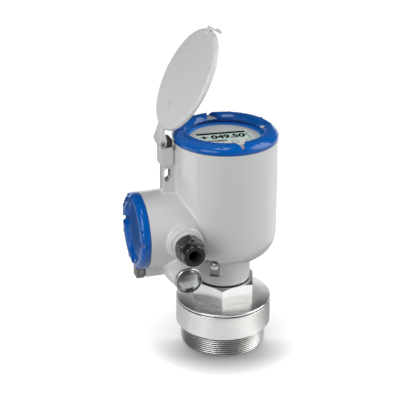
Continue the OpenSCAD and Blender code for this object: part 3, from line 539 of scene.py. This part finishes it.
cut(casting, others, "UNION")
pick(casting)
casting.data.remesh_voxel_size = 1.0 * MM
bpy.ops.object.voxel_remesh()
soft = casting.modifiers.new("soft", "SMOOTH")
soft.factor, soft.iterations = 0.5, 10
bpy.ops.object.modifier_apply(modifier="soft")

bores = turned("main_bores", [
    (0, 60), (40, 60), (40, 72.3), (21.4, 72.3), (21.05, 72.7), (21.05, 88), (22.6, 88), (22.6, 90.2),
    (21.05, 90.2), (21.05, 92.3), (9.05, 92.3), (9.05, 112), (45.5, 112), (45.5, 212.7), (47, 212.7),
    (47, 221.3), (49.8, 221.3), (49.8, 223.7), (60, 223.7), (60, 236), (0, 236)], 128)
wiring_bore = turned("wiring_bore", [
    (0, 37.5), (7.05, 37.5), (7.05, 54), (34, 54), (34, 84.1), (36.8, 84.1), (36.8, 86.5), (46, 86.5),
    (46, 98), (0, 98)], 96, place=to_terminal)
gland_bore = turned("gland_bore", [
    (0, 22), (10, 22), (10, 49.5), (10.6, 50), (13.5, 50), (13.5, 46), (16.6, 46), (17.6, 45), (24, 45),
    (24, 60), (0, 60)], 64, place=to_gland)
plug_bore = turned("plug_bore", [
    (0, -2), (10, -2), (10, 49.5), (10.6, 49.98), (24, 49.98), (24, 60), (0, 60)], 64, place=to_plug)
slot_cut = block("slot_cut", (-63.9, -12, 189.2), (-56.9, 12, 196.2))
slot_ends = [rod("slot_end", 3.5, -12, 12, 48, at(-60.4, 0, z) @ forward) for z in (189.2, 196.2)]
rib_holes = [rod("rib_hole", 1.55, -7, 4, 24, at(-59.4, 6, z) @ forward.inverted()) for z in (208.5, 213.5)]
pocket = block("ground_pocket", (32.5, -6.5, 84), (60, 6.5, 111.5), place=to_ground)
ground_hole = rod("ground_hole", 2.05, -6, 4, 32, to_ground @ at(32.5, 0, 98) @ sideways)
lock_slot = block("lock_slot", (-90.15, -8, 86.9), (-86.65, 8, 90.1))
lock_ends = [rod("lock_slot_end", 1.75, -8, 8, 32, at(-88.4, 0, z) @ forward) for z in (87.0, 90.05)]
set_hole = rod("set_hole", 2.05, 19, 32, 32, to_set_screw @ at(0, 0, 84.4) @ sideways)
cut(casting, [bores, wiring_bore, gland_bore, plug_bore, slot_cut, *slot_ends, *rib_holes, pocket,
              ground_hole, lock_slot, *lock_ends, set_hole])
pick(casting)
bpy.ops.object.shade_smooth_by_angle(angle=math.radians(40))
fit_out(casting, coat_grey, "housing", ["housing_body"])
dress("neck_screw", zinc)


# ---- Electronics behind the display and in the terminal compartment ----------------------------
# Potted sensor module in dark plastic, a bushing between the compartments, and a green clamp strip
# with slotted steel screws. They are out of sight behind the covers and keep their solid shapes.
potting = plastic("glass-filled polyamide, black", "2C2F33", 0.5, 0.6, 0.3)
clamp_green = plastic("polyamide, green", "4F8A5B", 0.42, 0.5, 0.15)
for node in ("sensor_module", "cable_feedthrough"):
    dress(node, potting)
dress("terminal_block", clamp_green)
for node in ("terminal_screws", "display_screws"):
    dress(node, zinc)


# ---- Display -----------------------------------------------------------------------------------
# Off-white moulded faceplate with four round optical keys under a pale green liquid crystal window,
# which has a faint painted glow. The reading stands between two black bars, all turned a few degrees
# from the front.
faceplate = plastic("ABS, off-white", "F4F6F2", 0.4, 0.6, 0.08, 0.01, shine=0.3)
screen = plastic("liquid crystal film", "D6EBE0", 0.3, 2.0, 0.02, 0.01, shine=0.2)


def paint_glow(stuff, colour, strength):
    """Gives a material a faint painted glow of its own."""
    shader = stuff.node_tree.nodes["Principled BSDF"]
    shader.inputs["Emission Color"].default_value = linear(colour)
    shader.inputs["Emission Strength"].default_value = strength


# painted light: a faint glow brightens the screen in the shade of the cover and glass
paint_glow(screen, "D6EBE0", 0.16)
ink = plastic("screen ink, black", "06080A", 0.6, 0.5, 0.05, shine=0.05)
key_ink = plastic("screen ink, grey", "5C686C", 0.5, 0.5, 0.05)
to_display = spun(-5)
plate = turned("display_faceplate", [
    (0, 203), (44, 203), (44, 206), (35.2, 206), (35.2, 219.6), (36.1, 219.6), (36.1, 222.3),
    (35.8, 222.6), (0, 222.6)], 128, place=to_display)
well = block("screen_well", (-26.7, -7.7, 221.6), (26.7, 17.7, 224), place=to_display)
screw_wells = [rod("screw_well", 3.2, 205, 207, 24, at(x, y, 0)) for x, y in arc(0, 0, 39, (90, 210, 330))]
cut(plate, [well, *screw_wells])
soften(plate, 0.15, 1)
bpy.ops.object.shade_smooth_by_angle(angle=math.radians(30))
fit_out(plate, faceplate, "housing", ["display_carrier"])
film = block("screen_film", (-26.4, -7.4, 220.8), (26.4, 17.4, 221.9), bevel=0.1, place=to_display)
fit_out(film, screen, "housing", ["lcd_panel"])

ink_low, ink_high, print_height = 221.85, 221.98, 221.95
bars = [block("screen_bar_top", (-26.0, 12.4, ink_low), (23.6, 16.8, ink_high), place=to_display),
        block("screen_bar_bottom", (-25.6, -6.4, ink_low), (1.0, -4.0, ink_high), place=to_display),
        block("screen_mark", (24.2, -4.5, ink_low), (24.8, 12.6, ink_high), place=to_display)]
for bar in bars:
    soften(bar, 0.03, 1)
    fit_out(bar, ink, "housing")


def lettering(name, words, size, weight, left, low):
    """Characters printed on the screen, as a thin raised mesh."""
    let_go()
    bpy.ops.object.text_add(location=(0, 0, 0))
    sign = bpy.context.object
    sign.name = name
    sign.data.body = words
    sign.data.size = size * MM
    sign.data.extrude = 0.04 * MM
    sign.data.offset = weight * MM
    bpy.ops.object.convert(target="MESH")
    sign = bpy.context.object
    sign.data.transform(to_display @ at(left, low, print_height))
    fit_out(sign, ink, "housing")


lettering("screen_reading", "+ 049.50", 12.4, 0.55, -23.4, 1.0)
lettering("screen_unit", "%", 5.0, 0.18, 19.8, 5.4)
key_pitch, key_row = 14.8, -11.7
for index in range(4):
    key = turned(f"display_key_{index + 1}", [
        (3.1, 222.5), (3.7, 222.5), (3.7, 222.68), (3.1, 222.68), (3.1, 222.5)], 48,
        place=to_display @ at((index - 1.5) * key_pitch, key_row, 0))
    fit_out(key, key_ink, "housing")


# ---- Hinge bracket, knuckle and pin ------------------------------------------------------------
# A folded steel saddle over the top of the rib, held by two socket screws at the back, with a dark
# knuckle on it. The bright pin has a turned head, and a dark disc on its front end is painted shade for
# its centre dimple.
def refined(node, name, edge, finish, body, segments=2):
    """A piece with the CAD node's own form, its faces joined up and its edges rounded by edge mm."""
    piece = bpy.data.objects.new(name, nodes[node].data.copy())
    scene.collection.objects.link(piece)
    pick(piece)
    bpy.ops.object.mode_set(mode="EDIT")
    bpy.ops.mesh.select_all(action="SELECT")
    bpy.ops.mesh.remove_doubles(threshold=1e-5)
    bpy.ops.mesh.dissolve_limited(angle_limit=math.radians(0.5))
    bpy.ops.object.mode_set(mode="OBJECT")
    soften(piece, edge, segments, 35)
    crisp(piece, 35)
    fit_out(piece, finish, body, [node])
    return piece


hood_coat = plastic("powder-coated steel sheet", "CBCCCD", 0.38, 0.6, 0.08, 0.015)
dark_steel = turned_metal("blackened steel, milled", "5A5B55", 0.42, 0.6, 0.2, radial=False)
refined("hinge_bracket", "hinge_saddle", 0.7, hood_coat, "housing", 3)
refined("hinge_block", "hinge_knuckle", 0.4, dark_steel, "housing", 3)
refined("hinge_pin", "hood_pin", 0.25, zinc, "housing")
to_hinge = at(-65.8, 0, 226.0)
# painted shade: a flat dark disc stands for the shade in the pin head's centre dimple
dimple_shade = turned("hood_pin_dimple", [(0, 9.0), (1.15, 9.0), (1.15, 9.15), (0, 9.15), (0, 9.0)], 32,
                place=to_hinge @ forward)
fit_out(dimple_shade, dark_steel, "housing")
dress("bracket_screws", zinc)


# ---- Weather hood ------------------------------------------------------------------------------
# Shallow lid pressed from steel sheet, powder-coated pale grey, with a rolled rim. A tapering channel
# stiffens it from the pin to the middle, and a spring tongue at the far edge clips it shut.
def cut_plate(name, outline, low, high, place=None):
    """A flat piece: an outline in mm in the XY plane, drawn point by point and raised from low to high."""
    let_go()
    bpy.ops.mesh.primitive_plane_add(size=MM, location=(0, 0, 0))
    piece = bpy.context.object
    piece.name = name
    bpy.ops.object.mode_set(mode="EDIT")
    bpy.ops.mesh.select_all(action="SELECT")
    bpy.ops.mesh.merge(type="CENTER")
    bpy.ops.transform.translate(value=(outline[0][0] * MM, outline[0][1] * MM, low * MM))
    for (x0, y0), (x1, y1) in zip(outline, outline[1:]):
        step = ((x1 - x0) * MM, (y1 - y0) * MM, 0)
        bpy.ops.mesh.extrude_region_move(TRANSFORM_OT_translate={"value": step})
    bpy.ops.mesh.select_all(action="SELECT")
    bpy.ops.mesh.edge_face_add()
    bpy.ops.mesh.extrude_region_move(TRANSFORM_OT_translate={"value": (0, 0, (high - low) * MM)})
    bpy.ops.mesh.select_all(action="SELECT")
    bpy.ops.mesh.normals_make_consistent(inside=False)
    bpy.ops.object.mode_set(mode="OBJECT")
    if place is not None:
        piece.data.transform(place)
    return piece


def remoulded(piece, voxel_mm, rounds):
    """Joins a piece's forms into one skin and softens its edges, as a die casting's are."""
    pick(piece)
    piece.data.remesh_voxel_size = 1 * voxel_mm * MM
    bpy.ops.object.voxel_remesh()
    soft = piece.modifiers.new("soft", "SMOOTH")
    soft.factor, soft.iterations = 0.5, rounds
    bpy.ops.object.modifier_apply(modifier="soft")
    bpy.ops.object.shade_smooth()


hood_open, sheet = 61, 1.8
to_hood = to_hinge @ spun(-hood_open, "Y")
arch = arc(48.6, 6.0, 3.4, range(90, -1, -10))
under = arc(48.6, 6.0, 1.8, range(0, 91, 18))
lid = turned("hood_lid", [(0, 9.4)] + arch + [(52, 4.9), (51.7, 4.6), (50.7, 4.6), (50.4, 4.9)]
             + under + [(0, 7.8), (0, 9.4)], 160, place=at(65.8, 0, 0))
web = cut_plate("hood_web", [
    (-1, 3.6), (15.5, 6.0), (19, 7.6), (28, 7.8), (43, 8.4), (42, 9.5), (38.5, 10.6), (33, 10.6),
    (17, 8.2), (-1, 5.2)], -8.5, 8.5, place=forward)
plan = cut_plate("hood_web_plan", [
    (-2, -8.5), (15, -8.5), (28, -6.2), (39, -1.6), (41.5, 0), (39, 1.6), (28, 6.2), (15, 8.5),
    (-2, 8.5)], 0, 14)
cut(web, [plan], "INTERSECT")
cheek_line = arc(0, 0, 4.0, range(165, 301, 15))
cheek_line += [(5, -1.8), (12.5, 4.8), (14.8, 4.8), (16, 7.2), (8, 5.8), (-1, 4.6)]
cheeks = [cut_plate("hood_cheek", cheek_line, y, y + sheet, place=forward) for y in (-8.5, 6.7)]
cut(web, cheeks, "UNION")
cut(web, [rod("eye", 2.05, -12, 12, 48, forward)])
soften(web, 0.35, 2)
crisp(web, 35)
for part in (lid, web):
    part.data.transform(to_hood)
fit_out(lid, hood_coat, "hood", ["hood"])
fit_out(web, hood_coat, "hood")
refined("hood_catch", "hood_spring_tongue", 0.35, hood_coat, "hood")


# ---- Display cover -----------------------------------------------------------------------------
# Die-cast screw cover in thick glossy blue enamel round a clear glass window. Four wedge-shaped notches
# take a pin spanner; pale plates on their floors are a painted highlight. A small round boss stands on
# each side of every notch.
enamel = plastic(
    "stoved enamel on cast aluminium, blue", "0056A8", 0.18, 1.5, 0.04, 0.02, coat=0.5, shine=0.1)
clear = bpy.data.materials.new("toughened glass, clear")
clear.use_nodes = True
shader = clear.node_tree.nodes["Principled BSDF"]
shader.inputs["Base Color"].default_value = linear("30383A")
shader.inputs["Roughness"].default_value = 0.03
shader.inputs["IOR"].default_value = 1.5
shader.inputs["Alpha"].default_value = 0.05
to_cover = at(0, 0, 224.0)
notch_turn, boss_turn = 1, 23


def arc_between(start, bend, end, count=8):
    """Points of a quadratic curve from start to end, drawn towards bend."""
    return [tuple((1 - t) ** 2 * a + 2 * t * (1 - t) * b + t * t * c for a, b, c in zip(start, bend, end))
            for t in (i / count for i in range(count + 1))]


def notched(ring, boss_out, boss_line, wedge_line, wedge_low):
    """Adds eight bosses to a screw cover's face and cuts a spanner notch between each pair."""
    bosses, wedges = [], []
    for quarter in range(4):
        for side in (-boss_turn, boss_turn):
            place = spun(quarter * 90 + side) @ at(boss_out, 0, 0)
            bosses.append(turned("boss", boss_line, 24, place=place))
        wedges.append(cut_plate("wedge", wedge_line, wedge_low, 14, place=spun(quarter * 90 + notch_turn)))
    cut(ring, bosses, "UNION")
    cut(ring, wedges)


def thread_line(turns, first, root, foot):
    """Outline of a cover's screw thread, 2 mm a turn and 0.95 mm high, upwards from height first."""
    profile = ((root, -foot), (root + 0.95, 0.3), (root + 0.95, 0.7), (root, 1 + foot))
    return [(r, first + 2.0 * turn + rise) for turn in range(turns) for r, rise in profile]


shoulder = arc_between((52.5, 3.5), (50.4, 6.9), (46.4, 9.0))
cover = turned("display_cover_ring", [(41.1, 0), (52.2, 0), (52.5, 0.3)] + shoulder + [
    (41.2, 9.0), (39.8, 8.6), (37.3, 6.2), (36.3, 4.6), (36.3, 4.0), (41.1, 4.0), (41.1, 0)], 160)
notched(cover, 47.4, [(0, 3.5), (2.4, 3.5), (2.4, 7.6), (1.9, 8.4), (0, 8.9)], [
    (33, -7.0), (33, 6.4), (40, 5.6), (50, 1.6), (55, 1.4), (55, -0.6), (50, -1.0), (40, -5.4)], 4.4)
remoulded(cover, 0.5, 2)
cover.data.transform(to_cover)
fit_out(cover, enamel, "display_cover", ["display_cover"])
# painted highlight: a thin pale plate on each notch floor stands for the light it reflects
for quarter in range(4):
    highlight_plate = cut_plate(f"display_cover_notch_highlight_{quarter + 1}", [
        (38.0, -5.2), (38.0, 5.2), (40.5, 4.8), (48.5, 1.6), (48.5, -0.8), (40.5, -4.6)], 4.2, 4.75,
        place=to_cover @ spun(quarter * 90 + notch_turn))
    fit_out(highlight_plate, hood_coat, "display_cover")
skirt = turned("display_cover_thread", [(41.1, -10)] + thread_line(5, -9.6, 46.0, 0.4)
               + [(46.0, 0.6), (41.1, 0.6), (41.1, -10)], 128, place=to_cover)
fit_out(skirt, enamel, "display_cover")
dress("display_window", clear)
for node in ("window_gasket", "display_cover_seal", "terminal_cover_seal", "plug_seal", "gland_gasket",
             "gland_seal"):
    dress(node, rubber)
# painted light: the ring's lighter blue and faint glow brighten the shade on the cover's inner wall
glowing_ring_blue = plastic("moulded ring, blue", "2F7FD2", 0.3, 0.6, 0.06, 0.02)
paint_glow(glowing_ring_blue, "1E6CC4", 0.3)
dress("window_ring", glowing_ring_blue)


# ---- Terminal cover ----------------------------------------------------------------------------
# The smaller screw cover in the same blue enamel, blind, with a flat recessed middle inside a raised
# ring that the four spanner notches break through.
to_lid = to_terminal @ at(0, 0, 86.8)
edge = arc_between((38.75, 4.6), (38.2, 8.4), (34.4, 9.7))
blind = turned("terminal_cover_face", [(0, 2.5), (30, 2.5), (30, 0), (38.5, 0), (38.75, 0.3)] + edge + [
    (31.2, 9.7), (29.8, 9.2), (28.9, 8.2), (28.6, 6.5), (28.0, 6.3), (0, 6.3)], 128)
notched(blind, 35.8, [(0, 4), (2.3, 4), (2.3, 8.8), (1.7, 9.5), (0, 9.8)], [
    (26.5, -5.8), (26.5, 5.8), (34, 3.4), (41, 2.0), (41, -1.2), (34, -2.8)], 6.0)
remoulded(blind, 0.4, 3)
blind.data.transform(to_lid)
fit_out(blind, enamel, "terminal_cover", ["terminal_cover"])
skirt = turned("terminal_cover_thread", [(30, -9)] + thread_line(4, -8.6, 33.0, 0.3)
               + [(33.0, 0.6), (30, 0.6), (30, -9)], 96, place=to_lid)
fit_out(skirt, enamel, "terminal_cover")


# ---- Cable gland and blanking plug -------------------------------------------------------------
# Black polyamide gland with a domed nut over a rubber insert, empty. The lower entry is closed by a
# nickel-plated brass plug with a smooth, slightly domed face inside a thin rim.
polyamide = plastic("polyamide 6, black", "18191B", 0.24, 0.9, 0.08, 0.08, coat=0.3)
nickel = turned_metal("brass, nickel-plated", "B2B4B4", 0.18, 0.4, 0.12, radial=False)
refined("gland_body", "gland_hexagon", 0.45, polyamide, "housing", 3)
refined("gland_nut", "gland_dome_nut", 0.5, polyamide, "gland_nut", 3)
crown = arc_between((11.9, 0.2), (7.4, 3.4), (0, 3.4), 12)
plug = turned("entry_plug", [
    (0, -11.9), (9.2, -11.9), (9.9, -11.2), (9.9, 0), (12.9, 0), (13.4, 0.5), (13.4, 2.9), (13.0, 3.4),
    (12.5, 3.3), (12.1, 0.4)] + crown, 96, place=to_plug @ at(0, 0, 50.8))
fit_out(plug, nickel, "blind_plug", ["blind_plug"])


# ---- Ground terminal ---------------------------------------------------------------------------
# Zinc-plated saddle clamp with a turned-out lip and a cross-recessed screw, in a pocket on the neck.
# painted light: the clamp's zinc is tinted darker for the shade in its pocket, the screw's lighter as a
# highlight; the clamp is also rougher
zinc_painted_darker = turned_metal("zinc-plated sheet, dull", "8F9397", 0.42, 0.8, 0.2, radial=False)
zinc_painted_lighter = turned_metal("zinc-plated screw, bright", "DFE1E3", 0.20, 0.4, 0.15, radial=False)
refined("ground_clamp", "ground_saddle", 0.25, zinc_painted_darker, "ground_clamp")
refined("ground_screw", "ground_cross_screw", 0.18, zinc_painted_lighter, "ground_screw")


# ---- Cover lock --------------------------------------------------------------------------------
# Small cast fork, painted dark grey, which a cross screw clamps under the terminal cover's edge. It
# slides down the lug's slot with its screw, clear of the cover.
lock_paint = plastic("painted zinc casting, dark grey", "6E6E6C", 0.45, 0.7, 0.15)
refined("cover_lock", "cover_lock_fork", 0.5, lock_paint, "cover_lock", 3)
dress("lock_screw", zinc)
